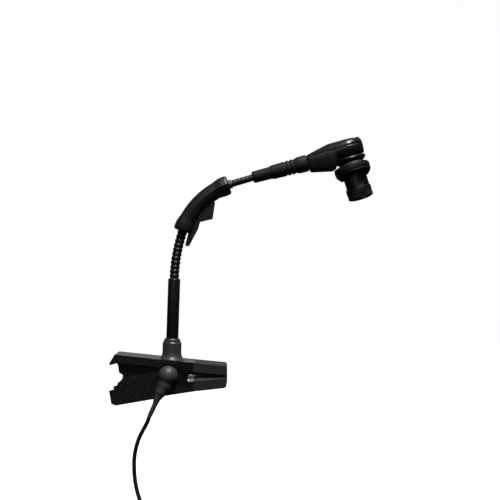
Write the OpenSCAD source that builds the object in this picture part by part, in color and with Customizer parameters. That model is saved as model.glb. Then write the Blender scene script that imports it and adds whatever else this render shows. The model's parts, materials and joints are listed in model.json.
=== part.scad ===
// Clip-on gooseneck microphone: a sprung clamp, a flexible neck with a push-fit bridge,
// and a small capsule in a shock mount. A thin cable hangs from the clamp.
// Millimetres. The origin is the centre of the rim seat between the jaws, on the clamp's
// mid-plane. +X runs along the jaws to their tips, +Y across the clamp, and +Z is up.

/* [Clamp] */
// Width of the clamp across its levers
clamp_w = 18; // [17.6:0.1:18.4]
// Radius of the round seat that holds the rim's bead
seat_r = 1.05; // [1:0.05:1.15]
// Gap between the rubber jaws at their tips
jaw_gap = 0.3; // [0.2:0.05:0.4]
// Thickness of the levers' plates
plate_t = 1.8; // [1.6:0.1:1.9]
// Outer radius of the hollow pivot pin
pin_r = 2.5; // [2.4:0.05:2.55]
// Radial clearance between the pin and the lower lever
pin_play = 0.06; // [0.04:0.01:0.08]

/* [Neck] */
// Lean of the stiff sleeve from upright, in degrees
sleeve_lean = 1.9; // [1.5:0.1:2.3]
// Length of the stiff sleeve
sleeve_len = 29.8; // [29:0.1:31]
// Outer radius of the stiff sleeve
sleeve_r = 3.03; // [2.95:0.01:3.1]
// Outer radius of the corrugated neck
flex_r = 2.4; // [2.3:0.05:2.45]
// Outer radius of the thin upper neck
thin_r = 1.95; // [1.9:0.05:2]
// Gap between two links of the flexible neck
link_gap = 0.6; // [0.55:0.05:0.7]
// Width of the push-fit bridge
bridge_w = 7.8; // [7.6:0.1:8]

/* [Head] */
// Length of the rubber grip
grip_len = 28.6; // [28.4:0.1:28.8]
// Outer radius of the capsule cage
cage_r = 6.4; // [6.3:0.05:6.5]
// Outer radius of the shock ring
ring_r = 9.2; // [9:0.1:9.3]
// Lean of the capsule away from square to the arm, in degrees
capsule_lean = 2.5; // [2:0.5:3]

/* [Cable] */
// Diameter of the cable
cable_d = 2; // [1.9:0.05:2.1]
// Radius of the cable's stored coil at the middle of its turns
coil_r = 12.3; // [12.1:0.1:12.5]

/* [Hidden] */
$fn = 48;
eps = 0.01;

// Clamp: side-view stations along X, and the lines of the two plates
half_w = clamp_w / 2;
rear_x = -39.5;
pad_x = 2.1;
tip_x = 18.2;
pivot = [-10.4, 0.5];
skirt_t = 1.8;
cheek_out = 6.9;
cheek_in = 5;
skirt_h = 3.8;
boss_r = 5.3;
cheek_boss_r = 4.6;
spring_room_r = 4.2;
boss_clear = 0.4;
split_z = -0.82;
split_gap = 0.35;
slot_way = [0.375, 0.875];
slot_start = seat_r * slot_way;
lip = 1.4;
lip_depth = 1;
function slot_z(x) = slot_start.y
    + (x - slot_start.x) * (jaw_gap / 2 - slot_start.y) / (tip_x - slot_start.x);
top_line = [[-36.8, 10.8], [2.1, 6.8], [18.2, 5.4]];
under_line = [[-36.2, -14.2], [-18.1, -11.1], [-12, -9.4], [2.1, -7.25], [18.2, -5.65]];
function top_z(x) = lookup(x, top_line);
function under_z(x) = lookup(x, under_line);
tongue_end = 16.8;
tongue_half_w = 7.6;
tongue_skin = 1.1;
seat_floor_x = -5.2;

// Neck boss and its fittings
boss_neck_r = 4.7;
boss_top_z = 16.5;
collar_top_z = 18.3;
ferrule_r = 2.7;
core_r = 2.2;
lead_r = 0.8;
core_bore_r = 1.1;
screw_r = 0.9;
screw_z = 13.4;

// Neck centreline: a straight sleeve, a slow bend, the bridge's bend and a straight top
neck_start = [-9.05, collar_top_z];
slow_bend_r = 84;
slow_bend_end = 18;
bridge_bend_r = 37.2;
bridge_end = 73.5;
thin_len = 10.6;
lower_joints = 8;
upper_joints = 4;
function along(p, a, s) = p + s * [sin(a), cos(a)];
function bend(p, r, a, b) = p + r * [cos(a) - cos(b), sin(b) - sin(a)];
sleeve_end = along(neck_start, sleeve_lean, sleeve_len);
bridge_start = bend(sleeve_end, slow_bend_r, sleeve_lean, slow_bend_end);
thin_start = bend(bridge_start, bridge_bend_r, slow_bend_end, bridge_end);
grip_start = along(thin_start, bridge_end, thin_len);
slow_len = slow_bend_r * (slow_bend_end - sleeve_lean) * PI / 180;
lower_pitch = (slow_len - link_gap) / (lower_joints - 1);
upper_pitch = (thin_len - link_gap) / (upper_joints - 1);
link_chamfer = 0.4;
bridge_centre = bridge_start + bridge_bend_r * [cos(slow_bend_end), -sin(slow_bend_end)];

// Head: the arm rises at arm_up degrees from the grip's end
arm_up = 15;
arm_lean = 90 - arm_up;
head_at = along(grip_start, arm_lean, grip_len);
seam_v = 2.9;
turret_u = 20.6;
floor_v = -2.2;
shell_t = 1.2;
spigot_r = 2.6;
spigot_play = 0.06;
roll_spigot_r = 2;
turret_r = 6.8;
turret_bottom = -6.5;
ball_v = -6;
ball_r = 2.9;
ball_play = 0.06;
ring_z = -3.9;
ring_half_h = 2.9;
ring_in_r = 5.4;
cage_wall = 1;
cage_top = -3.6;
sill_z = -12.6;
cage_end = -15;
grille_end = -18.6;
can_r = 4.6;
can_wall = 0.5;
can_top = -4.6;
can_end = -17;

// Cable boot: stations of its tapered tail, then the hanging cable's route
cable_r = cable_d / 2;
dome_r = 5;
pin_end_y = 9.3;
boot_line = [
    [-10.4, -9.3, 0.5], [-11.9, -9.9, -4], [-13.9, -10.8, -7.2], [-15.6, -11.5, -10.3],
    [-16.7, -11.9, -13.3], [-19.3, -12, -18.9]
];
boot_radii = [4.5, 3.7, 2.8, 1.8, 1.25, 1.15];
lead_points = [
    [-19.3, -12, -18.9], [-20.3, -12, -21.6], [-21.6, -12, -24.2], [-23.1, -12, -26.9],
    [-24.4, -12, -29.7], [-25.4, -12, -32.6], [-26.2, -12, -35.9], [-26.7, -12, -39.4],
    [-26.8, -12.1, -43], [-26.6, -12.3, -47.3], [-26, -12.8, -51.8], [-24.9, -13.6, -56],
    [-23.4, -14.6, -60.2], [-21.6, -15.8, -64.4], [-19.5, -17, -68.8], [-17.3, -18.2, -73.2],
    [-15.2, -19.3, -77.2], [-13.2, -20.1, -81.2]
];
tail_points = [
    [-9.6, -5.85, -92], [-9.6, -5.85, -97], [-9.6, -5.85, -102], [-9.6, -5.85, -107],
    [-9.6, -5.85, -112], [-9.6, -5.85, -117]
];
cord_sides = 8;

// Coil: three layers wound side by side about a line along Y
coil_at = [-24, -12, -92];
layer_step = 2.1;
coil_in_r = coil_r - layer_step - cable_r - 0.1;
coil_out_r = coil_r + layer_step + cable_r + 0.1;
coil_front = -9.4;
coil_back = 7.3;
tie_w = 8;
tie_t = 0.9;

// Plug at the cable's far end, hanging straight down
plug_at = [-9.6, -5.85, -117];
plug_boot_len = 12;
plug_shell_len = 20;
plug_shell_r = 4.75;
nose_len = 8;
nose_r = 4.2;
nose_wall = 0.6;
latch_w = 3;
latch_play = 0.3;

// ---- Shared shapes ----

// A side-view outline in X and Z, from y0 to y1
module side_slab(points, y0, y1) {
    translate([0, y1, 0]) rotate([90, 0, 0]) linear_extrude(y1 - y0) polygon(points);
}

// The same slab at both sides of the mid-plane
module side_pair(points, y0, y1) {
    side_slab(points, y0, y1);
    side_slab(points, -y1, -y0);
}

// A cylinder along Y, through the pivot unless another centre is given
module at_pivot(r, y0, y1, centre = pivot) {
    translate([centre.x, y1, centre.y]) rotate([90, 0, 0]) cylinder(r = r, h = y1 - y0);
}

module at_pivot_pair(r, y0, y1) {
    at_pivot(r, y0, y1);
    at_pivot(r, -y1, -y0);
}

// Children with their Z axis along the neck at point p, a degrees from upright
module on_neck(p, a) {
    translate([p.x, 0, p.y]) rotate([0, a, 0]) children();
}

// Children in the arm's frame: local X along the arm, local Z out of its lid
module on_arm(u = 0, v = 0) {
    translate([head_at.x, 0, head_at.y]) rotate([0, -arm_up, 0]) translate([u, 0, v]) children();
}

// Children in the capsule's frame: local Z along its axis, its front at the bottom
module on_capsule(z = 0) {
    on_arm(turret_u, ball_v) rotate([0, -capsule_lean, 0]) translate([0, 0, z]) children();
}

module tube(outer, inner, h) {
    difference() {
        cylinder(r = outer, h = h);
        translate([0, 0, -eps]) cylinder(r = inner, h = h + 2 * eps);
    }
}

// A bar of radius r between two points
module bar(p, q, r) {
    d = q - p;
    translate(p) rotate([0, acos(d.z / norm(d)), atan2(d.y, d.x)]) cylinder(r = r, h = norm(d));
}

// A round tube swept along points: one closed polyhedron
function unit(v) = v / norm(v);
function cord_dir(p, i) = unit(p[min(i + 1, len(p) - 1)] - p[max(i - 1, 0)]);
function cord_ring(c, d, r) = let (a = unit(cross([1, 0, 0], d)), b = cross(d, a))
    [for (k = [0 : cord_sides - 1]) c + r * (a * cos(360 * k / cord_sides) + b * sin(360 * k / cord_sides))];
module cord(p, r) {
    n = len(p);
    m = cord_sides;
    points = [for (i = [0 : n - 1]) each cord_ring(p[i], cord_dir(p, i), r)];
    sides = [for (i = [0 : n - 2], k = [0 : m - 1])
        [i * m + k, (i + 1) * m + k, (i + 1) * m + (k + 1) % m, i * m + (k + 1) % m]];
    first = [for (k = [0 : m - 1]) k];
    last = [for (k = [m - 1 : -1 : 0]) (n - 1) * m + k];
    polyhedron(points, concat(sides, [first, last]));
}

// ---- Clamp ----

module upper_lever() {
    block_x = -6.6;
    color("#17181a") difference() {
        union() {
            side_slab([[rear_x, 6.4], [-36.8, top_z(-36.8)], [pad_x, top_z(pad_x)],
                [pad_x, top_z(pad_x) - plate_t], [-36.4, top_z(-36.4) - plate_t], [-38.9, 5.7]],
                -half_w, half_w);
            side_pair([[rear_x, 6.4], [-36.8, top_z(-36.8)], [pad_x, top_z(pad_x)],
                [pad_x, top_z(pad_x) - skirt_h], [-35, top_z(-35) - skirt_h], [-38.9, 5.7]],
                half_w - skirt_t, half_w);
            side_slab([[block_x, top_z(block_x) - 1], [pad_x, top_z(pad_x) - 1],
                [pad_x, slot_z(pad_x)], slot_start, [0, split_z], [block_x, split_z]],
                -half_w, half_w);
            side_pair([[-36.4, 7.5], [-35.2, 5], [-34.9, 1.9], [-33.1, 0.7], [-32.9, pivot.y - 3],
                [-26, pivot.y - cheek_boss_r],
                [pivot.x, pivot.y - cheek_boss_r], [pivot.x + cheek_boss_r, pivot.y],
                [pivot.x + cheek_boss_r, 6.5]], cheek_in, cheek_out);
            at_pivot_pair(cheek_boss_r, cheek_in, cheek_out);
            jaw_tongue(1);
        }
        at_pivot(seat_r, -half_w - 1, half_w + 1, [0, 0]);
        slot_lip();
        at_pivot_pair(boss_r + boss_clear, cheek_out + 0.1, half_w + 1);
        at_pivot(spring_room_r, -cheek_in + eps, cheek_in - eps);
        at_pivot(pin_r, -half_w, half_w);
        on_neck(neck_start, sleeve_lean) translate([0, 0, -14]) cylinder(r = ferrule_r, h = 14);
    }
}

// The flared boss is moulded over the lever's top
module neck_boss() {
    color("#3f403f") difference() {
        intersection() {
            on_neck(neck_start, sleeve_lean) rotate_extrude() neck_boss_outline();
            translate([rear_x, 0.1 - half_w, 0]) cube([50, clamp_w - 0.2, 30]);
        }
        side_slab([[rear_x, 0], [rear_x, top_z(rear_x)], [pad_x, top_z(pad_x)], [pad_x, 0]], -half_w, half_w);
        on_neck(neck_start, sleeve_lean) translate([0, 0, -14]) cylinder(r = ferrule_r, h = 14);
        on_screw() cylinder(r = screw_r, h = 6);
    }
}

// Half outline of the flared neck boss, in the neck's own frame
module neck_boss_outline() {
    flare_r = 4.6;
    flare_z = -6.95;
    foot_r = boss_neck_r + flare_r + 0.1;
    foot_z = -11.8;
    top = boss_top_z - collar_top_z;
    polygon(concat(
        [[0, foot_z], [foot_r, foot_z], [foot_r, flare_z - flare_r - 0.1]],
        [for (a = [-90 : -15 : -180]) [boss_neck_r + flare_r, flare_z] + flare_r * [cos(a), sin(a)]],
        [[boss_neck_r, top - 0.6], [boss_neck_r - 0.4, top], [0, top]]));
}

// The set screw's own frame: local Z outwards through the boss, at its far side
module on_screw() {
    on_neck(neck_start, sleeve_lean) translate([0, ferrule_r, screw_z - collar_top_z])
        rotate([-90, 0, 0]) children();
}

// The bevelled lip round the slot, cut into both faces of the clamp
module slot_lip() {
    tip = jaw_gap / 2;
    for (side = [-1, 1]) hull() {
        lip_outline(seat_r + 0.05, tip + 0.05, side * (half_w - lip_depth));
        lip_outline(seat_r + lip, tip + 0.6, side * (half_w + eps));
    }
}

// The slot's outline as a thin slab at y, with a round end of radius r
module lip_outline(r, tip_half, y) {
    translate([0, y, 0]) rotate([90, 0, 0]) linear_extrude(eps) {
        circle(r = r);
        polygon([r * slot_way, [tip_x + 1, tip_half], [tip_x + 1, -tip_half],
            [r * slot_way.x, -r * slot_way.y]]);
    }
}

// The tongue inside a rubber jaw: side 1 is the upper jaw and -1 the lower
module jaw_tongue(side) {
    far = side > 0 ? top_z(tongue_end) - tongue_skin : under_z(tongue_end) + tongue_skin;
    near = side > 0 ? top_z(pad_x) - tongue_skin : under_z(pad_x) + tongue_skin;
    back = pad_x - 1;
    side_slab([[back, near], [tongue_end, far], [tongue_end, side * (slot_z(tongue_end) + tongue_skin)],
        [back, side * (slot_z(pad_x) + tongue_skin)]], -tongue_half_w, tongue_half_w);
}

module lower_lever() {
    top = split_z - split_gap;
    wall_top = 2.1;
    wall_in = cheek_out + boss_clear - 0.1;
    color("#17181a") difference() {
        union() {
            side_pair([[rear_x, -7], [-38.4, -13.3], [-36.2, under_z(-36.2)], [-18.1, under_z(-18.1)],
                [-12, under_z(-12)], [pad_x, under_z(pad_x)], [pad_x, -slot_z(pad_x)],
                [slot_start.x, -slot_start.y], [0, top], [-5.6, top], [pivot.x, wall_top],
                [-17.7, wall_top], [-32.8, -1.2], [-35.2, -3], [-36.2, -6]], wall_in, half_w);
            side_slab([[-38.8, -11], [-38.4, -13.3], [-36.2, under_z(-36.2)], [-18.1, under_z(-18.1)],
                [-12, under_z(-12)], [pad_x, under_z(pad_x)], [pad_x, under_z(pad_x) + plate_t],
                [-12, under_z(-12) + plate_t], [-18.1, under_z(-18.1) + plate_t],
                [-36.2, under_z(-36.2) + plate_t]], -half_w, half_w);
            side_slab([[seat_floor_x, under_z(seat_floor_x) + 1], [pad_x, under_z(pad_x) + 1],
                [pad_x, -slot_z(pad_x)], [slot_start.x, -slot_start.y], [0, top], [seat_floor_x, top]],
                -half_w, half_w);
            at_pivot_pair(boss_r, wall_in, half_w);
            jaw_tongue(-1);
        }
        at_pivot(seat_r, -half_w - 1, half_w + 1, [0, 0]);
        slot_lip();
        at_pivot(pin_r + pin_play, -half_w - 1, half_w + 1);
    }
}

module jaw_pad(side, line_z) {
    corner = 1.5;
    difference() {
        side_slab(concat([[pad_x, line_z], [pad_x, side * slot_z(pad_x)], [tip_x, side * jaw_gap / 2]],
            [for (a = [0 : 15 : 90]) [tip_x - corner + corner * cos(a),
                side * (abs(side > 0 ? top_z(tip_x) : under_z(tip_x)) - corner + corner * sin(a))]]),
            -half_w, half_w);
        jaw_tongue(side);
        slot_lip();
    }
}

module upper_jaw_pad() {
    color("#3a3b3c") jaw_pad(1, top_z(pad_x));
}

module lower_jaw_pad() {
    color("#3a3b3c") jaw_pad(-1, under_z(pad_x));
}

module pivot_pin() {
    color("#8f9296") difference() {
        at_pivot(pin_r, -pin_end_y, pin_end_y);
        at_pivot(pin_r - 1.1, -pin_end_y - 1, pin_end_y + 1);
    }
}

module pin_cap() {
    color("#202123") translate([pivot.x, pin_end_y, pivot.y]) rotate([-90, 0, 0])
        rotate_extrude() polygon([[0, 0], [4.4, 0], [4.4, 0.6], [3.8, 1.3], [0, 1.3]]);
}

module torsion_spring() {
    wire_r = 0.5;
    turn_r = 3.3;
    turns = 6;
    step = 0.95;
    arm_x = -27;
    end_y = step * (turns - 1) / 2;
    gap = 0.3;
    upper_z = top_z(arm_x) - plate_t - wire_r - gap;
    lower_z = under_z(arm_x) + plate_t + wire_r + gap;
    color("#9a9da1") {
        for (i = [0 : turns - 1]) translate([pivot.x, end_y - i * step, pivot.y])
            rotate([90, 0, 0]) rotate_extrude() translate([turn_r, 0]) circle(r = wire_r, $fn = 16);
        bar([pivot.x, end_y, pivot.y + turn_r], [arm_x, end_y, upper_z], wire_r);
        bar([pivot.x, -end_y, pivot.y - turn_r], [arm_x, -end_y, lower_z], wire_r);
    }
}

// ---- Neck ----

module neck_collar() {
    h = collar_top_z - boss_top_z;
    color("#3c3e41") on_neck(neck_start, sleeve_lean) rotate_extrude()
        polygon([[core_r, -h], [4.2, -h], [4.1, -1.2], [3.7, -0.3], [3.3, 0], [core_r, 0]]);
}

module neck_ferrule() {
    color("#8f9296") on_neck(neck_start, sleeve_lean) translate([0, 0, -11.5])
        tube(ferrule_r, core_r, 9.7);
}

module set_screw() {
    socket_af = 0.9;
    color("#2b2c2e") on_screw() difference() {
        cylinder(r = screw_r, h = 1.9);
        translate([0, 0, 1.1]) cylinder(d = socket_af, h = 1, $fn = 6);
    }
}

module neck_core() {
    color("#6d7074") on_neck(neck_start, sleeve_lean) translate([0, 0, -11.5])
        tube(core_r, core_bore_r, sleeve_len + 11.5);
}

module stiff_sleeve() {
    color("#1b1c1e") on_neck(neck_start, sleeve_lean) tube(sleeve_r, core_r, sleeve_len);
}

module signal_lead() {
    color("#7a2f2a") on_neck(neck_start, sleeve_lean) translate([0, 0, -12])
        cylinder(r = lead_r, h = sleeve_len + 11.8);
}

// One link of a flexible stretch: a short tube with bevelled ends
module link(outer, h) {
    c = link_chamfer;
    rotate_extrude() polygon([[core_bore_r, 0], [outer - c, 0], [outer, c],
        [outer, h - c], [outer - c, h], [core_bore_r, h]]);
}

module flex_link(i) {
    first = (i - 1) * lower_pitch + link_gap;
    a = sleeve_lean + first / slow_bend_r * 180 / PI;
    b = sleeve_lean + (first + lower_pitch - link_gap) / slow_bend_r * 180 / PI;
    color("#232426") on_neck(bend(sleeve_end, slow_bend_r, sleeve_lean, a), (a + b) / 2)
        link(flex_r, lower_pitch - link_gap);
}

module thin_link(i) {
    first = (i - 1) * upper_pitch + link_gap;
    color("#232426") on_neck(along(thin_start, bridge_end, first), bridge_end)
        link(thin_r, upper_pitch - link_gap);
}

// ---- Bridge ----

// Children, a section with X outwards, swept round the bridge's bend from a to b degrees
module bridge_sweep(a, b) {
    translate([bridge_centre.x, 0, bridge_centre.y]) rotate([90, 0, 0]) rotate([0, 0, 180 - b])
        rotate_extrude(angle = b - a, $fn = 96) translate([bridge_bend_r, 0]) children();
}

module bridge_core() {
    color("#6d7074") bridge_sweep(slow_bend_end, bridge_end) difference() {
        circle(r = core_r, $fn = 32);
        circle(r = core_bore_r, $fn = 24);
    }
}

module bridge_lead() {
    color("#7a2f2a") bridge_sweep(slow_bend_end + 0.4, bridge_end - 0.4) circle(r = lead_r, $fn = 16);
}

module brace_channel() {
    slot_w = 5.2;
    slot_x = -1;
    ridge = 0.35;
    color("#1d1e20") bridge_sweep(slow_bend_end + 0.5, bridge_end - 2.5) difference() {
        union() {
            circle(r = bridge_w / 2, $fn = 32);
            translate([0, -bridge_w / 2 - ridge / 2]) square([1.2, bridge_w + ridge]);
        }
        circle(r = core_r, $fn = 32);
        translate([slot_x - bridge_w, -slot_w / 2]) square([bridge_w, slot_w]);
    }
}

module brace_keeper() {
    keeper_w = 5;
    keeper_x = -3.7;
    tab_w = 1.7;
    seam_r = bridge_bend_r + keeper_x + 0.7;
    color("#6e5648") {
        bridge_sweep(slow_bend_end + 1, bridge_end - 3) translate([keeper_x, -keeper_w / 2])
            square([1.4, keeper_w]);
        side_slab(concat([[12.3, 85.8], [11.1, 77.8], [4.8, 76.3], [3.8, 72.7], [-0.8, 64.1], [-2.6, 64.5]],
            [for (a = [19 : 9 : 55]) bridge_centre + seam_r * [-cos(a), sin(a)]]), -tab_w, tab_w);
    }
}

// ---- Grip ----

module neck_end_ferrule() {
    color("#8f9296") on_neck(grip_start, arm_lean) tube(thin_r, core_bore_r, 6);
}

module grip_core() {
    color("#2a2b2d") on_neck(grip_start, arm_lean) translate([0, 0, 6]) difference() {
        tube(2.6, core_bore_r, grip_len - 6);
        translate([0, 0, grip_len - 6 - 6.6]) cylinder(r = roll_spigot_r + spigot_play, h = 7);
    }
}

module grip_sleeve() {
    grooves = 3;
    groove_at = 17;
    groove_step = 2.2;
    color("#3a3b3c") on_neck(grip_start, arm_lean) difference() {
        rotate_extrude() polygon([[0, 0], [2.5, 0], [2.9, 0.5], [3.1, 9.6], [3.5, 10.2], [3.7, 16],
            [3.8, 22.4], [4.2, 24], [4.2, grip_len - 0.4], [3.9, grip_len], [0, grip_len]]);
        translate([0, 0, -eps]) cylinder(r = thin_r, h = 6 + 2 * eps);
        translate([0, 0, 6]) cylinder(r = 2.6, h = grip_len);
        for (i = [0 : grooves - 1]) translate([0, 0, groove_at + i * groove_step])
            tube(5, 3.3, 0.9);
    }
}

module grip_lead() {
    color("#7a2f2a") on_neck(grip_start, arm_lean) translate([0, 0, 0.3])
        cylinder(r = lead_r, h = grip_len - 1);
}

// ---- Head ----

// Plan of the arm's head: a round end with straight sides narrowing to the grip
module head_plan(inset) {
    round_r = 8 - inset;
    back_w = 4.2 - inset;
    front_u = 21;
    translate([front_u, 0]) circle(r = round_r);
    polygon([[0.3 + inset, -back_w], [front_u - 1.4, -round_r * 0.985],
        [front_u - 1.4, round_r * 0.985], [0.3 + inset, back_w]]);
}

// The two lid screws' places along the arm, and their heads' heights
screw_places = [[11.2, 5.9], [27, 5.1]];

module arm_housing() {
    keel_w = 7.6;
    floor_top = floor_v + shell_t;
    color("#3b3d40") on_arm() difference() {
        union() {
            difference() {
                translate([0, 0, floor_v]) linear_extrude(seam_v - floor_v) head_plan(0);
                translate([0, 0, floor_top]) linear_extrude(seam_v) head_plan(shell_t);
            }
            side_slab([[0.3, 0], [0.3, -4.8], [1, -5.1], [10.2, -7.1], [11.9, -6.3], [13.3, -5.8],
                [13.3, floor_top - 0.3], [3, 0]], -keel_w / 2, keel_w / 2);
            translate([-6, 0, 0]) rotate([0, 90, 0]) cylinder(r = roll_spigot_r, h = 8);
            for (p = screw_places) translate([p.x, 0, floor_v + 0.2])
                cylinder(r = 1.7, h = seam_v - floor_v - 0.2);
            for (side = [-1, 1]) translate([15, side * 5.4 - 1.2, floor_top - 0.2])
                cube([3, 2.4, 2.1]);
        }
        translate([-7, 0, 0]) rotate([0, 90, 0]) cylinder(r = core_bore_r, h = 11);
        translate([turret_u, 0, floor_v - 1]) cylinder(r = spigot_r + spigot_play, h = 4);
        for (p = screw_places) translate([p.x, 0, 0]) cylinder(r = 0.6, h = 4);
    }
}

module arm_lid() {
    roof = 1.2;
    color("#2a2c2f") on_arm() difference() {
        intersection() {
            translate([0, 0, seam_v]) linear_extrude(5) head_plan(0);
            side_slab([[0.3, seam_v], [0.3, 3.7], [10.9, 6.2], [12, 6.3], [24.6, 6.3], [25.4, 5.6],
                [28.8, 5.4], [30, 4], [30, seam_v]], -9, 9);
        }
        intersection() {
            translate([0, 0, seam_v - 1]) linear_extrude(5) head_plan(shell_t);
            side_slab([[6, 0], [6, seam_v + 0.8], [10.9, 6.2 - roof], [24.2, 6.3 - roof], [25.4, 5.6 - roof],
                [30, 5.4 - roof], [30, 0]], -9, 9);
        }
        for (p = screw_places) {
            translate([p.x, 0, 0]) cylinder(r = 0.6, h = 9);
            translate([p.x, 0, p.y - 0.6]) cylinder(r = 1.1, h = 3);
        }
    }
}

module lid_screws() {
    color("#4a4c50") on_arm() for (p = screw_places) translate([p.x, 0, p.y - 0.6]) difference() {
        union() {
            translate([0, 0, -3.6]) cylinder(r = 0.6, h = 3.7);
            cylinder(r = 1.1, h = 0.6);
        }
        translate([0, 0, 0.25]) cylinder(d = 0.9, h = 1, $fn = 6);
    }
}

module head_board() {
    color("#1f5a3a") on_arm(14.8, 0) translate([0, -5, 0.9]) difference() {
        cube([9.6, 10, 0.8]);
        translate([turret_u - 14.8, 5, -1]) cylinder(r = 1.2, h = 3);
    }
}

module swivel_cup() {
    top = floor_v - 0.3;
    color("#17181a") on_arm(turret_u) difference() {
        rotate_extrude() polygon([[0.9, 0.3], [0.9, turret_bottom], [4.4, turret_bottom],
            [turret_r - 1.2, -6], [turret_r - 0.4, -5.2], [turret_r, -4.1], [turret_r, -3.3],
            [turret_r - 0.6, top], [spigot_r, top], [spigot_r, 0.3]]);
        translate([0, 0, ball_v]) sphere(r = ball_r + ball_play);
    }
}

module swivel_ring() {
    color("#8f9296") on_arm(turret_u, floor_v + shell_t + 0.1) tube(3.6, spigot_r, 0.6);
}

module swivel_ball() {
    color("#6d7074") on_capsule() {
        sphere(r = ball_r);
        translate([0, 0, cage_top]) cylinder(r = 1.5, h = -cage_top - 2);
    }
}

module shock_ring() {
    thick_r = (ring_r - ring_in_r) / 2;
    half = ring_half_h - thick_r;
    color("#2e2f30") on_capsule(ring_z) rotate_extrude() {
        for (s = [-1, 1]) translate([ring_in_r + thick_r, s * half]) circle(r = thick_r, $fn = 32);
        translate([ring_in_r, -half]) square([2 * thick_r, 2 * half]);
    }
}

module capsule_cage() {
    windows = 3;
    window_w = 7.9;
    window_top = -5.3;
    window_low = -12.2;
    shoulder_z = -6.2;
    roof = -2.6;
    color("#18191b") on_capsule() difference() {
        rotate_extrude() polygon([[1.5, cage_top], [1.5, roof], [ring_in_r, roof],
            [ring_in_r, shoulder_z + 0.3],
            [cage_r - 0.4, shoulder_z - 0.6], [cage_r - 0.4, sill_z + 0.4], [cage_r, sill_z],
            [cage_r, cage_end], [cage_r - cage_wall, cage_end], [cage_r - cage_wall, -6.4],
            [4.8, -5.8], [4.8, cage_top]]);
        for (i = [0 : windows - 1]) rotate([0, 0, -90 + i * 360 / windows])
            translate([3, -window_w / 2, window_low]) cube([6, window_w, window_top - window_low]);
    }
}

module capsule_can() {
    vents = 10;
    color("#8b8d90") on_capsule() difference() {
        translate([0, 0, can_end]) cylinder(r = can_r, h = can_top - can_end);
        translate([0, 0, can_end + 0.5]) cylinder(r = can_r - can_wall, h = can_top - can_end - 1);
        translate([0, 0, can_end - 1]) cylinder(r = 3, h = 2);
        translate([0, 0, can_top - 1]) cylinder(r = 1, h = 2);
        for (i = [0 : vents - 1]) rotate([0, 0, i * 360 / vents + 10]) translate([3, 0, -6.6])
            rotate([0, 90, 0]) cylinder(r = 0.45, h = 3, $fn = 16);
    }
}

module can_collars() {
    color("#2e2f30") on_capsule() {
        translate([0, 0, cage_top - 0.9]) tube(4.8, 2, 0.6);
        translate([0, 0, -14.4]) tube(cage_r - cage_wall, can_r, 1.6);
    }
}

module front_grille() {
    side_holes = 18;
    wall = 0.4;
    outer = cage_r - 0.2;
    color("#232426") on_capsule() difference() {
        rotate_extrude() polygon([[0, grille_end], [3.6, grille_end + 0.15], [5.6, grille_end + 0.5],
            [outer, grille_end + 1.2], [outer, cage_end], [outer - wall, cage_end],
            [outer - wall, grille_end + 1.6], [5.3, grille_end + 0.9], [3.5, grille_end + 0.55],
            [0, grille_end + 0.4]]);
        for (i = [0 : side_holes - 1]) rotate([0, 0, i * 360 / side_holes]) translate([5, 0, -15.9])
            rotate([0, 90, 0]) cylinder(r = 0.6, h = 2, $fn = 6);
        for (ring = [1 : 2], i = [0 : 6 * ring - 1]) rotate([0, 0, i * 60 / ring])
            translate([1.6 * ring, 0, grille_end - 1]) cylinder(r = 0.55, h = 3, $fn = 6);
        translate([0, 0, grille_end - 1]) cylinder(r = 0.55, h = 3, $fn = 6);
    }
}

module grille_cloth() {
    color("#101112") on_capsule(grille_end + 1.05) cylinder(r = 5.6, h = 0.25);
}

module diaphragm_ring() {
    color("#c9b46a") on_capsule(can_end + 0.7) tube(can_r - can_wall, 3.2, 0.5);
}

module backplate() {
    color("#b08d3c") on_capsule(can_end + 1.5) difference() {
        cylinder(r = can_r - can_wall, h = 0.6);
        for (i = [0 : 5]) rotate([0, 0, i * 60]) translate([2, 0, -1]) cylinder(r = 0.4, h = 3, $fn = 16);
    }
}

module capsule_board() {
    color("#1f5a3a") on_capsule(can_top - 2.4) cylinder(r = can_r - can_wall, h = 0.8);
}

// ---- Cable ----

module cable_boot() {
    color("#4a4b4c") intersection() {
        union() {
            translate([pivot.x, -pin_end_y, pivot.y]) sphere(r = dome_r, $fn = 64);
            for (i = [0 : len(boot_line) - 2]) {
                d = boot_line[i + 1] - boot_line[i];
                translate(boot_line[i]) rotate([0, acos(d.z / norm(d)), atan2(d.y, d.x)]) {
                    if (i > 0) sphere(r = 1.02 * boot_radii[i]);
                    cylinder(r1 = boot_radii[i], r2 = boot_radii[i + 1], h = norm(d));
                }
            }
        }
        translate([pivot.x - 20, -pin_end_y - 10, pivot.y - 30]) cube([40, 10, 40]);
    }
}

module cable_lead() {
    color("#1a1b1c") cord(lead_points, cable_r);
}

module cable_tail() {
    color("#1a1b1c") cord(tail_points, cable_r);
}

module cable_coil() {
    color("#1a1b1c") translate([coil_at.x, coil_at.y + coil_back, coil_at.z]) rotate([90, 0, 0])
        tube(coil_out_r, coil_in_r, coil_back - coil_front);
}

module cable_tie() {
    low = coil_at.z + coil_in_r - 0.2;
    high = coil_at.z + coil_out_r + 0.2;
    y0 = coil_at.y + coil_front - 0.1;
    y1 = coil_at.y + coil_back + 0.1;
    color("#242527") difference() {
        translate([coil_at.x - tie_w / 2, y0 - tie_t, low - tie_t])
            cube([tie_w, y1 - y0 + 2 * tie_t, high - low + 2 * tie_t]);
        translate([coil_at.x - tie_w, y0, low]) cube([2 * tie_w, y1 - y0, high - low]);
    }
}

// ---- Plug ----

// Children hanging from the cable's end: local Z points down the plug
module on_plug(depth = 0) {
    translate(plug_at) rotate([180, 0, 0]) translate([0, 0, depth]) children();
}

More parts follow.
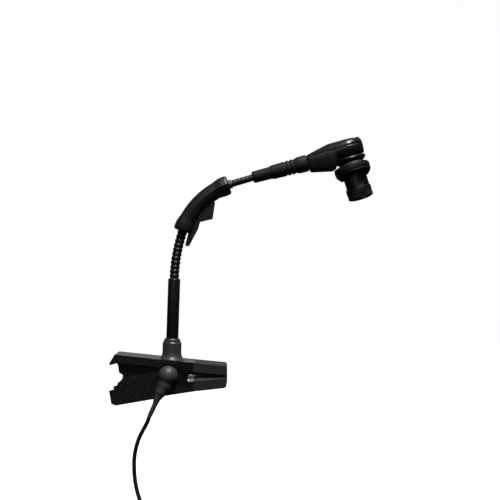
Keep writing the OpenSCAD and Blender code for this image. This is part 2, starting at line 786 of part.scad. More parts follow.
module plug_boot() {
    ribs = 4;
    color("#2a2b2c") on_plug() difference() {
        cylinder(r1 = 1.9, r2 = 3.9, h = plug_boot_len);
        for (i = [0 : ribs - 1]) translate([0, 0, 3 + 2.2 * i]) tube(6, 1.9 + 0.3 * i, 0.8);
    }
}

module plug_shell() {
    slot_at = plug_boot_len + 6;
    color("#57595c") on_plug() difference() {
        union() {
            translate([0, 0, plug_boot_len]) cylinder(r = plug_shell_r, h = plug_shell_len);
            translate([0, 0, plug_boot_len]) cylinder(r = nose_r, h = plug_shell_len + nose_len);
        }
        translate([0, 0, plug_boot_len + 1]) cylinder(r = nose_r - nose_wall, h = 40);
        translate([0, 0, plug_boot_len - 1]) cylinder(r = 1.2, h = 4);
        translate([0, -latch_w / 2 - latch_play, slot_at]) cube([10, latch_w + 2 * latch_play, 10]);
    }
}

module plug_insert() {
    color("#151617") on_plug() {
        translate([0, 0, plug_boot_len + 3]) cylinder(r = 1.4, h = 16);
        translate([0, 0, plug_boot_len + 18]) cylinder(r = nose_r - nose_wall, h = 3.5);
    }
}

module plug_contacts() {
    color("#c9b46a") on_plug(plug_boot_len + 21.5) for (i = [0 : 3]) rotate([0, 0, 45 + 90 * i])
        translate([1.9, 0, 0]) cylinder(r = 0.4, h = 4.5, $fn = 16);
}

module plug_latch() {
    color("#202123") on_plug(plug_boot_len + 6 + latch_play) translate([3.4, -latch_w / 2, 0])
        difference() {
            cube([1.9, latch_w, 10 - 2 * latch_play]);
            translate([1.7, -1, 4.2]) cube([1, latch_w + 2, 1]);
        }
}

module latch_spring() {
    color("#9a9da1") on_plug(plug_boot_len + 11) translate([1.4, 0, 0]) rotate([0, 90, 0])
        cylinder(r = 0.8, h = 1.8);
}

// ---- Drawing ----

upper_lever();
neck_boss();
lower_lever();
pivot_pin();
pin_cap();
torsion_spring();
upper_jaw_pad();
lower_jaw_pad();
neck_collar();
neck_ferrule();
set_screw();
neck_core();
stiff_sleeve();
signal_lead();
for (i = [1 : lower_joints - 1]) flex_link(i);
bridge_core();
brace_channel();
brace_keeper();
bridge_lead();
for (i = [1 : upper_joints - 1]) thin_link(i);
neck_end_ferrule();
grip_core();
grip_sleeve();
grip_lead();
arm_housing();
arm_lid();
lid_screws();
head_board();
swivel_cup();
swivel_ring();
swivel_ball();
shock_ring();
capsule_cage();
capsule_can();
can_collars();
front_grille();
grille_cloth();
diaphragm_ring();
backplate();
capsule_board();
cable_boot();
cable_lead();
cable_coil();
cable_tie();
cable_tail();
plug_boot();
plug_shell();
plug_insert();
plug_contacts();
plug_latch();
latch_spring();
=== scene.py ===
"""Looks for the clip-on gooseneck microphone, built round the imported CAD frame. Units are metres."""
import json
import math
import bmesh
import bpy
from mathutils import Matrix, Vector


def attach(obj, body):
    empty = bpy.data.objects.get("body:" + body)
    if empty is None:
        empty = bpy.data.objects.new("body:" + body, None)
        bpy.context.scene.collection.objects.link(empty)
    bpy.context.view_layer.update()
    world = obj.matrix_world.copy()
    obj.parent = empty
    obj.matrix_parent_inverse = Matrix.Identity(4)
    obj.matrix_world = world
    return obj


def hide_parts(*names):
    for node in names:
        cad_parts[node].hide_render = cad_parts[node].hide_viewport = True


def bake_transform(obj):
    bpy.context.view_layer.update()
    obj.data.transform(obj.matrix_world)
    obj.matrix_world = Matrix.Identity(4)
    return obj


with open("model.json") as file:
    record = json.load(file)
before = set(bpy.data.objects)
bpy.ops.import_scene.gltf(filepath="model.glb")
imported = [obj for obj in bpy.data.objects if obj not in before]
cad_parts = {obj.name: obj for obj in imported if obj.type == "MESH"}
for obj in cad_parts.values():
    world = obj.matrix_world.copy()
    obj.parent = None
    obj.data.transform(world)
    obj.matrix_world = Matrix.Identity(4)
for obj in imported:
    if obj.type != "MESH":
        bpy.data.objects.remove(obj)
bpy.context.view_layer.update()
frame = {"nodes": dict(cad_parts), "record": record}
MM = 0.001


def mm(x, y, z):
    """A point given in millimetres, as in the CAD."""
    return Vector((x, y, z)) * MM


# ---- Camera: level, square on to the near side ----

SENSOR_WIDTH = 36
FOCAL_LENGTH = 74.88
CAMERA_AT = (29.8, -520, 62.3)

camera_data = bpy.data.cameras.new("camera")
camera_data.sensor_width = SENSOR_WIDTH
camera_data.lens = FOCAL_LENGTH
camera_data.clip_start = 0.01
camera_data.clip_end = 20
camera = bpy.data.objects.new("camera", camera_data)
camera.location = mm(*CAMERA_AT)
camera.rotation_euler = (math.radians(90), 0, 0)
bpy.context.collection.objects.link(camera)
bpy.context.scene.camera = camera

# ---- Cable: its free runs repeat the route of part.scad, and a loop winds the coil ----

CABLE_D = 2.0
LEAD_POINTS = [
    (-19.3, -12, -18.9), (-20.3, -12, -21.6), (-21.6, -12, -24.2), (-23.1, -12, -26.9),
    (-24.4, -12, -29.7), (-25.4, -12, -32.6), (-26.2, -12, -35.9), (-26.7, -12, -39.4),
    (-26.8, -12.1, -43), (-26.6, -12.3, -47.3), (-26, -12.8, -51.8), (-24.9, -13.6, -56),
    (-23.4, -14.6, -60.2), (-21.6, -15.8, -64.4), (-19.5, -17, -68.8), (-17.3, -18.2, -73.2),
    (-15.2, -19.3, -77.2), (-13.2, -20.1, -81.2)]
TAIL_POINTS = [(-9.6, -5.85, -97), (-9.6, -5.85, -102), (-9.6, -5.85, -107), (-9.6, -5.85, -112),
               (-9.6, -5.85, -117)]
COIL_AT = (-24, -12, -92)
LAYERS = (10.2, 12.3, 14.4)
ENTRY_ANGLE = 63.4
ENTRY_Y = -8.25
COIL_HALF_W = 6.15
EXIT_ANGLE = 90
ENTRY_SWEEP = 180
LAYER_SWEEP = 60
WHOLE_TURNS = 18
STEPS_PER_TURN = 24


def smooth(t):
    """A share from 0 to 1 that starts and stops gently."""
    return t * t * (3 - 2 * t)


def coil_points():
    """The coil's turns: in across its face, three layers to and fro, out down its right side."""
    total = EXIT_ANGLE + 360 * WHOLE_TURNS - ENTRY_ANGLE
    layer = (total - ENTRY_SWEEP - len(LAYERS) * LAYER_SWEEP) / len(LAYERS)
    outer, inner = LAYERS[-1], LAYERS[0]
    runs = [(ENTRY_SWEEP, outer, inner, ENTRY_Y, ENTRY_Y), (LAYER_SWEEP, inner, inner, ENTRY_Y, -COIL_HALF_W)]
    side = -COIL_HALF_W
    for k, radius in enumerate(LAYERS):
        runs.append((layer, radius, radius, side, -side))
        side = -side
        if k + 1 < len(LAYERS):
            runs.append((LAYER_SWEEP, radius, LAYERS[k + 1], side, side))
    points = []
    angle = ENTRY_ANGLE
    for sweep, r0, r1, y0, y1 in runs:
        count = max(2, round(sweep / 360 * STEPS_PER_TURN))
        for i in range(count):
            t = i / count
            a = math.radians(angle + sweep * t)
            r = r0 + (r1 - r0) * smooth(t)
            y = y0 + (y1 - y0) * t
            points.append((COIL_AT[0] + r * math.sin(a), COIL_AT[1] + y, COIL_AT[2] + r * math.cos(a)))
        angle += sweep
    a = math.radians(angle)
    points.append((COIL_AT[0] + outer * math.sin(a), COIL_AT[1] + side, COIL_AT[2] + outer * math.cos(a)))
    return points


# ---- Materials: every one is procedural and works in the object's own space ----


CLOUD_SCALE, WEAR_SCALE, SMUDGE_SCALE = 240, 900, 420
GRAIN_HEIGHT, CLOUD_HEIGHT = 0.00004, 0.00006
COAT_ROUGHNESS = 0.12


def new_nodes(name):
    """A new material with its node tree and its shader."""
    material = bpy.data.materials.new(name)
    material.use_nodes = True
    tree = material.node_tree
    return material, tree, tree.nodes["Principled BSDF"]


def object_coords(tree):
    return tree.nodes.new("ShaderNodeTexCoord").outputs["Object"]


def noise(tree, coords, scale, detail=3.0, rough=0.55):
    """The value of a cloudy noise."""
    node = tree.nodes.new("ShaderNodeTexNoise")
    node.inputs["Scale"].default_value = scale
    node.inputs["Detail"].default_value = detail
    node.inputs["Roughness"].default_value = rough
    tree.links.new(coords, node.inputs["Vector"])
    return node.outputs["Fac"]


def span(tree, value, low, high, from_low=0.3, from_high=0.7):
    """A value carried over from one range to another."""
    node = tree.nodes.new("ShaderNodeMapRange")
    node.inputs["From Min"].default_value = from_low
    node.inputs["From Max"].default_value = from_high
    node.inputs["To Min"].default_value = low
    node.inputs["To Max"].default_value = high
    tree.links.new(value, node.inputs["Value"])
    return node.outputs["Result"]


def times(tree, one, other):
    """The product of two values."""
    node = tree.nodes.new("ShaderNodeMath")
    node.operation = "MULTIPLY"
    tree.links.new(one, node.inputs[0])
    tree.links.new(other, node.inputs[1])
    return node.outputs[0]


def mix_colour(tree, fac, dark, light):
    """A mix of two colours; each is three numbers or another node's output."""
    node = tree.nodes.new("ShaderNodeMix")
    node.data_type = "RGBA"
    tree.links.new(fac, node.inputs["Factor"])
    ends = [socket for socket in node.inputs if socket.type == "RGBA"]
    for socket, colour in zip(ends, (dark, light)):
        if isinstance(colour, bpy.types.NodeSocket):
            tree.links.new(colour, socket)
        else:
            socket.default_value = (*colour, 1)
    return next(socket for socket in node.outputs if socket.type == "RGBA")


def tinted(colour, share):
    """A colour made darker or lighter, up to full brightness."""
    return [min(1, c * share) for c in colour]


def bump(tree, shader, height, strength, distance, before=None):
    """Relief on a shader; before is the normal of relief that lies under it."""
    node = tree.nodes.new("ShaderNodeBump")
    node.inputs["Strength"].default_value = strength
    node.inputs["Distance"].default_value = distance
    tree.links.new(height, node.inputs["Height"])
    if before is not None:
        tree.links.new(before, node.inputs["Normal"])
    tree.links.new(node.outputs["Normal"], shader.inputs["Normal"])
    return node.outputs["Normal"]


def moulded(name, colour, rough, grain=9000, grain_depth=0.4, mottle=0.12, worn=None, metallic=0.0,
            ior=1.5, coat=0.0):
    """Moulded plastic, rubber or coated metal: cloudy colour, uneven gloss, fine grain, rubbed edges."""
    material, tree, shader = new_nodes(name)
    coords = object_coords(tree)
    clouds = noise(tree, coords, CLOUD_SCALE, 4)
    fine = noise(tree, coords, grain, 2, 0.7)
    base = mix_colour(tree, span(tree, clouds, 0, 1), tinted(colour, 1 - mottle), tinted(colour, 1 + mottle))
    if worn:
        edge = tree.nodes.new("ShaderNodeNewGeometry").outputs["Pointiness"]
        patches = span(tree, noise(tree, coords, WEAR_SCALE, 4), 0, 1, 0.35, 0.65)
        rubbed = times(tree, span(tree, edge, 0, 1, 0.54, 0.64), patches)
        base = mix_colour(tree, rubbed, base, worn)
    tree.links.new(base, shader.inputs["Base Color"])
    smudge = span(tree, noise(tree, coords, SMUDGE_SCALE, 5), rough * 0.9, min(1, rough * 1.1))
    tree.links.new(smudge, shader.inputs["Roughness"])
    shader.inputs["Metallic"].default_value = metallic
    shader.inputs["IOR"].default_value = ior
    shader.inputs["Coat Weight"].default_value = coat
    shader.inputs["Coat Roughness"].default_value = COAT_ROUGHNESS
    first = bump(tree, shader, fine, grain_depth, GRAIN_HEIGHT)
    bump(tree, shader, clouds, 0.1, CLOUD_HEIGHT, first)
    return material


def brushed(name, colour, rough, axis=2):
    """Turned or drawn metal with fine scratches round or along one axis."""
    material, tree, shader = new_nodes(name)
    coords = object_coords(tree)
    stretch = tree.nodes.new("ShaderNodeMapping")
    scale = [400.0, 400.0, 400.0]
    scale[axis] = 9000.0
    stretch.inputs["Scale"].default_value = scale
    tree.links.new(coords, stretch.inputs["Vector"])
    lines = noise(tree, stretch.outputs["Vector"], 1, 3, 0.6)
    base = mix_colour(tree, span(tree, lines, 0, 1), tinted(colour, 0.75), tinted(colour, 1.15))
    tree.links.new(base, shader.inputs["Base Color"])
    tree.links.new(span(tree, lines, rough * 0.7, rough * 1.3), shader.inputs["Roughness"])
    shader.inputs["Metallic"].default_value = 1
    bump(tree, shader, lines, 0.3, 0.00003)
    return material


def woven(name, colour, threads=1400, rough=0.85):
    """Woven strap or cloth: crossing threads from two wave patterns."""
    material, tree, shader = new_nodes(name)
    coords = object_coords(tree)
    waves = []
    for direction in ("DIAGONAL", "Z"):
        wave = tree.nodes.new("ShaderNodeTexWave")
        wave.bands_direction = direction
        wave.inputs["Scale"].default_value = threads / 6
        wave.inputs["Distortion"].default_value = 0.6
        tree.links.new(coords, wave.inputs["Vector"])
        waves.append(wave.outputs["Fac"])
    cross = times(tree, *waves)
    base = mix_colour(tree, cross, tinted(colour, 0.4), tinted(colour, 1.8))
    tree.links.new(base, shader.inputs["Base Color"])
    uneven = span(tree, noise(tree, coords, 700), rough * 0.9, min(1, rough * 1.1))
    tree.links.new(uneven, shader.inputs["Roughness"])
    shader.inputs["Sheen Weight"].default_value = 0.3
    bump(tree, shader, cross, 0.6, 0.00015)
    return material


def smoky(name, colour):
    """Translucent tinted plastic with a cloudy body."""
    material, tree, shader = new_nodes(name)
    coords = object_coords(tree)
    clouds = noise(tree, coords, 260, 4)
    base = mix_colour(tree, span(tree, clouds, 0, 1), tinted(colour, 0.7), tinted(colour, 1.3))
    tree.links.new(base, shader.inputs["Base Color"])
    tree.links.new(span(tree, noise(tree, coords, 800), 0.22, 0.4), shader.inputs["Roughness"])
    shader.inputs["Transmission Weight"].default_value = 0.35
    shader.inputs["IOR"].default_value = 1.49
    shader.inputs["Subsurface Weight"].default_value = 0.2
    shader.inputs["Subsurface Scale"].default_value = 0.002
    bump(tree, shader, clouds, 0.15, 0.0001)
    return material


WORN = (0.02, 0.02, 0.0205)
LOOKS = {
    "lever_plastic": moulded("lever_plastic", (0.0038, 0.0038, 0.004), 0.3, 7000, 0.3, worn=WORN),
    "jaw_rubber": moulded("jaw_rubber", (0.024, 0.024, 0.0232), 0.66, 5200, 0.7,
                          worn=(0.04, 0.04, 0.04), ior=1.4),
    "turned_steel": brushed("turned_steel", (0.42, 0.42, 0.42), 0.3),
    "spring_wire": brushed("spring_wire", (0.4, 0.4, 0.41), 0.28, 1),
    "dark_collar": moulded("dark_collar", (0.06, 0.06, 0.06), 0.34, 6000, 0.3, 0.15, (0.12, 0.12, 0.12), 0.4),
    "neck_steel": brushed("neck_steel", (0.16, 0.16, 0.165), 0.35),
    "neck_sleeve": moulded("neck_sleeve", (0.0075, 0.0075, 0.0078), 0.42, 8000, 0.5),
    "neck_ribs": moulded("neck_ribs", (0.007, 0.007, 0.0068), 0.36, 8000, 0.4, worn=WORN),
    "bridge_plastic": moulded("bridge_plastic", (0.0085, 0.0087, 0.009), 0.42, 7000, 0.5, worn=WORN),
    "tab_plastic": smoky("tab_plastic", (0.012, 0.0115, 0.0085)),
    "grip_rubber": moulded("grip_rubber", (0.006, 0.006, 0.0057), 0.66, 5200, 0.6,
                           worn=(0.01, 0.01, 0.01), ior=1.33),
    "grip_plastic": moulded("grip_plastic", (0.015, 0.015, 0.016), 0.5),
    "arm_plastic": moulded("arm_plastic", (0.006, 0.0066, 0.0074), 0.36, 7500, 0.35, worn=WORN),
    "lid_plastic": moulded("lid_plastic", (0.008, 0.008, 0.0078), 0.3, 7500, 0.25, worn=WORN, coat=0.25),
    "cage_plastic": moulded("cage_plastic", (0.005, 0.005, 0.0052), 0.3, 8000, 0.3, worn=WORN),
    "ball_metal": moulded("ball_metal", (0.03, 0.03, 0.031), 0.3, metallic=0.6),
    "ring_rubber": moulded("ring_rubber", (0.004, 0.0042, 0.0042), 0.5, 5200, 0.7, ior=1.4),
    "capsule_metal": moulded("capsule_metal", (0.04, 0.04, 0.0405), 0.42, 5200, 0.5,
                             worn=(0.1, 0.1, 0.1), metallic=0.35),
    "grille_mesh": moulded("grille_mesh", (0.012, 0.012, 0.0125), 0.4, metallic=0.5),
    "grille_cloth": woven("grille_cloth", (0.003, 0.003, 0.003), 3000),
    "circuit_board": moulded("circuit_board", (0.01, 0.07, 0.035), 0.35),
    "gold_plate": brushed("gold_plate", (0.8, 0.6, 0.25), 0.22),
    "lead_jacket": moulded("lead_jacket", (0.2, 0.02, 0.015), 0.4),
    "cable_jacket": moulded("cable_jacket", (0.006, 0.006, 0.0058), 0.55, 6500, 0.4, ior=1.4),
    "boss_rubber": moulded("boss_rubber", (0.05, 0.05, 0.046), 0.38, 5200, 0.4, worn=(0.07, 0.07, 0.07)),
    "boot_rubber": moulded("boot_rubber", (0.052, 0.052, 0.049), 0.45, 5200, 0.5),
    "tie_strap": woven("tie_strap", (0.012, 0.012, 0.013)),
    "plug_metal": moulded("plug_metal", (0.06, 0.06, 0.063), 0.3, 7000, 0.25, worn=(0.25, 0.25, 0.25),
                          metallic=0.85),
    "plug_insert": moulded("plug_insert", (0.01, 0.01, 0.0105), 0.45),
}
SLOT_OF = {part["node"]: part["material_slot"] for part in frame["record"]["subparts"]}
for node_name, slot_name in SLOT_OF.items():
    part = frame["nodes"][node_name]
    part.data.materials.clear()
    part.data.materials.append(LOOKS[slot_name])


def finish_piece(piece, body, *nodes, slot=None):
    """Rides a finished piece on its body, gives it its look and hides the CAD nodes it stands for."""
    slot = slot or SLOT_OF[nodes[0]]
    piece.data.materials.clear()
    piece.data.materials.append(LOOKS[slot])
    if nodes:
        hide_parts(*nodes)
    if body:
        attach(piece, body)
    return piece


# ---- Places taken from the joints ----

JOINTS = {j["name"]: j for j in frame["record"]["behaviour"]["joints"]}
AXIS_Y = Vector((0, 1, 0))
CAPSULE_LEAN = math.radians(2.5)
TURRET_U = 20.6


def joint_at(name):
    return Vector(JOINTS[name]["pos_m"])


def joint_axis(name):
    return Vector(JOINTS[name]["axis"]).normalized()


ARM_ALONG = joint_axis("head_roll")
ARM_UP = joint_axis("capsule_turn")
BALL = joint_at("capsule_tilt")
CAPSULE_UP = ARM_UP * math.cos(CAPSULE_LEAN) - ARM_ALONG * math.sin(CAPSULE_LEAN)
CAPSULE_X = ARM_ALONG * math.cos(CAPSULE_LEAN) + ARM_UP * math.sin(CAPSULE_LEAN)


def on_arm(u, v, y=0):
    """A point u along the arm, v out of its lid and y across, in millimetres."""
    return joint_at("head_roll") + (ARM_ALONG * u + ARM_UP * v + AXIS_Y * y) * MM


def on_capsule(x, y, z):
    """A point in the capsule's own frame, in millimetres from the ball's centre."""
    return BALL + (CAPSULE_X * x + AXIS_Y * y + CAPSULE_UP * z) * MM


# ---- Mesh helpers ----


def mesh_piece(name, verts, faces):
    """A new piece with its faces turned outwards."""
    data = bpy.data.meshes.new(name)
    data.from_pydata([Vector(v) for v in verts], [], faces)
    data.update()
    piece = bpy.data.objects.new(name, data)
    bpy.context.collection.objects.link(piece)
    tidy_normals(piece)
    return piece


def joined(name, pieces):
    """One piece with the meshes of several."""
    work = bmesh.new()
    for piece in pieces:
        work.from_mesh(piece.data)
        bpy.data.objects.remove(piece)
    data = bpy.data.meshes.new(name)
    work.to_mesh(data)
    work.free()
    whole = bpy.data.objects.new(name, data)
    bpy.context.collection.objects.link(whole)
    whole.data.shade_smooth()
    return whole


def tidy_normals(piece):
    """Turns every face outwards and shades it smooth."""
    work = bmesh.new()
    work.from_mesh(piece.data)
    bmesh.ops.recalc_face_normals(work, faces=work.faces)
    work.to_mesh(piece.data)
    work.free()
    piece.data.shade_smooth()


def settle(piece):
    """Applies every modifier on a piece."""
    bpy.context.view_layer.update()
    final = bpy.data.meshes.new_from_object(piece.evaluated_get(bpy.context.evaluated_depsgraph_get()))
    piece.modifiers.clear()
    piece.data = final
    return piece


def hollow(piece, *tools):
    """Cuts closed shapes out of a piece and drops them."""
    for tool in tools:
        tidy_normals(tool)
        cut = piece.modifiers.new("cut", "BOOLEAN")
        cut.operation = "DIFFERENCE"
        cut.solver = "EXACT"
        cut.object = tool
        settle(piece)
        bpy.data.objects.remove(tool)


WELD = 2e-6
FLAT_ANGLE = math.radians(0.6)
BEVEL_ANGLE = math.radians(28)


def copy_node(name, *nodes):
    """A new piece with the welded meshes of CAD nodes."""
    work = bmesh.new()
    for node in nodes:
        work.from_mesh(frame["nodes"][node].data)
    bmesh.ops.remove_doubles(work, verts=work.verts, dist=WELD)
    bmesh.ops.dissolve_limit(work, angle_limit=FLAT_ANGLE, verts=work.verts, edges=work.edges)
    data = bpy.data.meshes.new(name)
    work.to_mesh(data)
    work.free()
    piece = bpy.data.objects.new(name, data)
    bpy.context.collection.objects.link(piece)
    return piece


def softened(name, nodes, body, width, segments=3):
    """A CAD shape with its edges rounded, standing for its nodes."""
    piece = copy_node(name, *nodes)
    edge = piece.modifiers.new("edge", "BEVEL")
    edge.width = width * MM
    edge.segments = segments
    edge.limit_method = "ANGLE"
    edge.angle_limit = BEVEL_ANGLE
    edge.use_clamp_overlap = True
    edge.harden_normals = True
    piece.data.shade_smooth()
    settle(piece)
    piece.data.shade_smooth()
    weight = piece.modifiers.new("weight", "WEIGHTED_NORMAL")
    weight.keep_sharp = True
    settle(piece)
    return finish_piece(piece, body, *nodes)


def melted(name, nodes, body, voxel, rounds):
    """A CAD shape remeshed finely and smoothed, so that its parts flow into each other."""
    piece = copy_node(name, *nodes)
    remesh = piece.modifiers.new("remesh", "REMESH")
    remesh.mode = "VOXEL"
    remesh.voxel_size = voxel * MM
    remesh.use_smooth_shade = True
    smoothing = piece.modifiers.new("smooth", "SMOOTH")
    smoothing.factor = 0.5
    smoothing.iterations = rounds
    settle(piece)
    piece.data.shade_smooth()
    return finish_piece(piece, body, *nodes)


def loft(name, rings, closed=False):
    """A skin through rings of equal length, closed at its ends by fans unless it meets itself."""
    n = len(rings[0])
    verts = [v for ring in rings for v in ring]
    faces = []
    count = len(rings)
    for i in range(count if closed else count - 1):
        a, b = i * n, ((i + 1) % count) * n
        faces += [(a + k, a + (k + 1) % n, b + (k + 1) % n, b + k) for k in range(n)]
    if not closed:
        faces += [tuple(range(n)), tuple(range((count - 1) * n, count * n))]
    return mesh_piece(name, verts, faces)


def lathe(name, profile, at, axis, sides=48):
    """A closed solid turned about an axis: profile is (radius, distance) in millimetres."""
    turn = Vector((0, 0, 1)).rotation_difference(axis).to_matrix()
    rings = [[at + turn @ mm(r * math.cos(t), r * math.sin(t), z)
              for t in (2 * math.pi * k / sides for k in range(sides))] for r, z in profile]
    return loft(name, rings)


def washer(name, profile, at, axis, sides=64):
    """A closed solid of revolution whose section is a closed loop clear of the axis."""
    turn = Vector((0, 0, 1)).rotation_difference(axis).to_matrix()
    rings = [[at + turn @ mm(r * math.cos(t), r * math.sin(t), z) for r, z in profile]
             for t in (2 * math.pi * k / sides for k in range(sides))]
    return loft(name, rings, closed=True)


def rounded(points, radius, steps):
    """A closed outline with its corners rounded."""
    result = []
    for i, corner in enumerate(points):
        p = Vector(corner)
        a = Vector(points[i - 1]) - p
        b = Vector(points[(i + 1) % len(points)]) - p
        cut = min(radius, a.length * 0.45, b.length * 0.45)
        start, end = p + a.normalized() * cut, p + b.normalized() * cut
        for k in range(steps + 1):
            t = k / steps
            result.append(tuple(start * (1 - t) ** 2 + p * 2 * t * (1 - t) + end * t ** 2))
    return result


def tube(name, points, radius, sides=10):
    """A closed round tube along points in millimetres; radius may be a function of the point's share."""
    path = [mm(*p) for p in points]
    rings = []
    normal = None
    for i, p in enumerate(path):
        d = (path[min(i + 1, len(path) - 1)] - path[max(i - 1, 0)]).normalized()
        if normal is None:
            normal = d.orthogonal().normalized()
        normal = (normal - d * normal.dot(d)).normalized()
        side = d.cross(normal)
        r = (radius(i / (len(path) - 1)) if callable(radius) else radius) * MM
        rings.append([p + (normal * math.cos(t) + side * math.sin(t)) * r
                      for t in (2 * math.pi * k / sides for k in range(sides))])
    return loft(name, rings)


# ---- Clamp ----

TOP_EDGE = ((-36.7, 10.35), (1.9, 6.38))
TOP_EDGE_Y = 8.58
TOP_EDGE_R = 0.5

softened("upper_lever_shell", ["upper_lever"], "clamp", 0.5)
for label, y in (("near", -TOP_EDGE_Y), ("far", TOP_EDGE_Y)):
    bead = tube(f"lever_edge_{label}", [(x, y, z) for x, z in TOP_EDGE], TOP_EDGE_R, 16)
    finish_piece(bead, "clamp", slot="lever_plastic")
softened("boss_sleeve", ["neck_boss"], "clamp", 0.25)
softened("lower_lever_shell", ["lower_lever"], "lower_jaw", 0.4)
softened("upper_jaw_rubber", ["upper_jaw_pad"], "clamp", 0.45, 4)
softened("lower_jaw_rubber", ["lower_jaw_pad"], "lower_jaw", 0.45, 4)
softened("pin_button", ["pin_cap"], "clamp", 0.4, 3)
softened("boss_collar", ["neck_collar"], "clamp", 0.2, 3)
strain_relief = melted("strain_relief", ["cable_boot"], "clamp", 0.2, 12)

PIVOT = (-10.4, 0.5)
SPRING_TURNS, SPRING_PITCH, SPRING_R = 6, 0.95, 3.3
SPRING_WIRE_R = 0.5
STEPS_ROUND = 20


def spring_points():
    """Torsion spring: a straight arm under the upper lever, turns on the pin, a lower arm."""
    half = SPRING_PITCH * (SPRING_TURNS - 1) / 2
    steps = SPRING_TURNS * STEPS_ROUND
    points = [(-27, half, 6.6), (-22, half, 5.75), (-16, half, 4.7)]
    for i in range(steps + 1):
        a = math.radians(90 - 360 * i / STEPS_ROUND)
        y = half - 2 * half * i / steps
        points.append((PIVOT[0] + SPRING_R * math.cos(a), y, PIVOT[1] + SPRING_R * math.sin(a)))
    return points + [(-16, -half, -4.9), (-22, -half, -7.4), (-27, -half, -9.7)]


spring = tube("pivot_spring", spring_points(), SPRING_WIRE_R, 8)
finish_piece(spring, None, "torsion_spring")
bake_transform(spring)

# ---- Cable ----


def flowing(points, steps):
    """More points between given ones, on a smooth curve through all of them."""
    knots = [Vector(p) for p in points]
    knots = [knots[0] * 2 - knots[1]] + knots + [knots[-1] * 2 - knots[-2]]
    result = []
    for a, b, c, d in zip(knots, knots[1:], knots[2:], knots[3:]):
        for k in range(steps):
            t = k / steps
            result.append(tuple(0.5 * (2 * b + (c - a) * t + (2 * a - 5 * b + 4 * c - d) * t * t
                                       + (3 * b - a - 3 * c + d) * t ** 3)))
    return result + [tuple(points[-1])]


coil = coil_points()
lead_in = flowing(LEAD_POINTS + coil[:2], 4)
cable_path = lead_in[:-1] + coil[1:-1] + flowing([coil[-1]] + TAIL_POINTS, 3)
cable = tube("cable", cable_path, CABLE_D / 2, 10)
finish_piece(cable, "clamp", "cable_lead", "cable_coil", "cable_tail")
[mm(*p) for p in cable_path]

# ---- Neck: one corrugated stretch for each joint, from mid-link to mid-link ----

RIB_STEP = 2.19
NECK_R, NECK_RIB_DEPTH = 2.4, 0.42
TOP_R, TOP_RIB_DEPTH = 1.75, 0.08
STEPS_PER_MM = 7
NECK_RUN_OUT, GRIP_RUN_OUT = 1.2, 1.0


def ribbed(share, radius, depth):
    """Radius of a corrugated tube: round-topped ribs with narrow valleys."""
    return radius - depth * (1 - abs(math.cos(math.pi * share))) ** 1.6


def joint_points(prefix):
    """Joint centres along one stretch, in order from the clamp."""
    return [joint_at(name) for name in JOINTS if name.startswith(prefix)]


def neck_stretch(label, joints, nodes, radius, depth, first, last):
    """Ribbed pieces, each blended over its own joint; together they look like one neck."""
    middles = [first] + [(a + b) / 2 for a, b in zip(joints, joints[1:])] + [last]
    travelled = 0.0
    for i, joint in enumerate(joints):
        legs = [(middles[i], joint), (joint, middles[i + 1])]
        path, shares = [], []
        for a, b in legs:
            steps = max(3, round((b - a).length / MM * STEPS_PER_MM))
            for k in range(steps + (b == middles[i + 1])):
                path.append((a + (b - a) * k / steps) / MM)
                shares.append(travelled + (b - a).length * k / steps / MM)
            travelled += (b - a).length / MM
        radii = [ribbed(s / RIB_STEP, radius, depth) for s in shares]
        piece = tube(f"{label}_{i + 1}", path, lambda t, r=radii: r[round(t * (len(r) - 1))], 28)
        own = [nodes[i]] if i < len(nodes) else []
        finish_piece(piece, None, *own, slot="neck_ribs")
        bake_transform(piece)


def run_out(a, b, length):
    """A point past b, on the line from a to b."""
    return b + (b - a).normalized() * length * MM


lower = joint_points("neck_")
upper = joint_points("top_")
neck_stretch("neck_ribs", lower, [f"flex_link_{i}" for i in range(1, 8)], NECK_R, NECK_RIB_DEPTH,
             run_out(lower[1], lower[0], NECK_RUN_OUT), run_out(lower[-2], lower[-1], NECK_RUN_OUT))
neck_stretch("top_ribs", upper, [f"thin_link_{i}" for i in range(1, 4)], TOP_R, TOP_RIB_DEPTH,
             run_out(upper[1], upper[0], NECK_RUN_OUT), run_out(upper[-2], upper[-1], GRIP_RUN_OUT))

NECK_START = mm(-9.05, 0, 18.3)
SLEEVE_LEAN = math.radians(1.9)
SLEEVE_LEN = 29.8
SLEEVE_R = 3.03
SLEEVE_BORE_R = 2.25
sleeve_profile = [(SLEEVE_BORE_R, 0.02), (SLEEVE_R - 0.1, 0.02), (SLEEVE_R, 0.2),
                  (SLEEVE_R, SLEEVE_LEN - 0.8), (SLEEVE_R - 0.06, SLEEVE_LEN - 0.35),
                  (SLEEVE_R - 0.3, SLEEVE_LEN - 0.05), (SLEEVE_BORE_R, SLEEVE_LEN)]
sleeve_along = Vector((math.sin(SLEEVE_LEAN), 0, math.cos(SLEEVE_LEAN)))
sleeve = lathe("neck_tubing", sleeve_profile, NECK_START, sleeve_along)
finish_piece(sleeve, "clamp", "stiff_sleeve")

# ---- Bridge: a moulded channel swept round the bend, with a ridge along both sides ----

BEND_CENTRE = mm(31.382, 0, 59.76)
BEND_R = 37.2
BRIDGE_R = 4.2
BRIDGE_FROM, BRIDGE_TO = 18.6, 71.0
BRIDGE_STEPS = 96
RIDGE_AT, RIDGE_HEIGHT, RIDGE_WIDTH = 0.35, 0.42, 0.36
COLLAR_SWELL, COLLAR_REACH, COLLAR_SLOPE = 0.16, 8, 5
END_SIZE, END_RIM = 0.78, 1.5


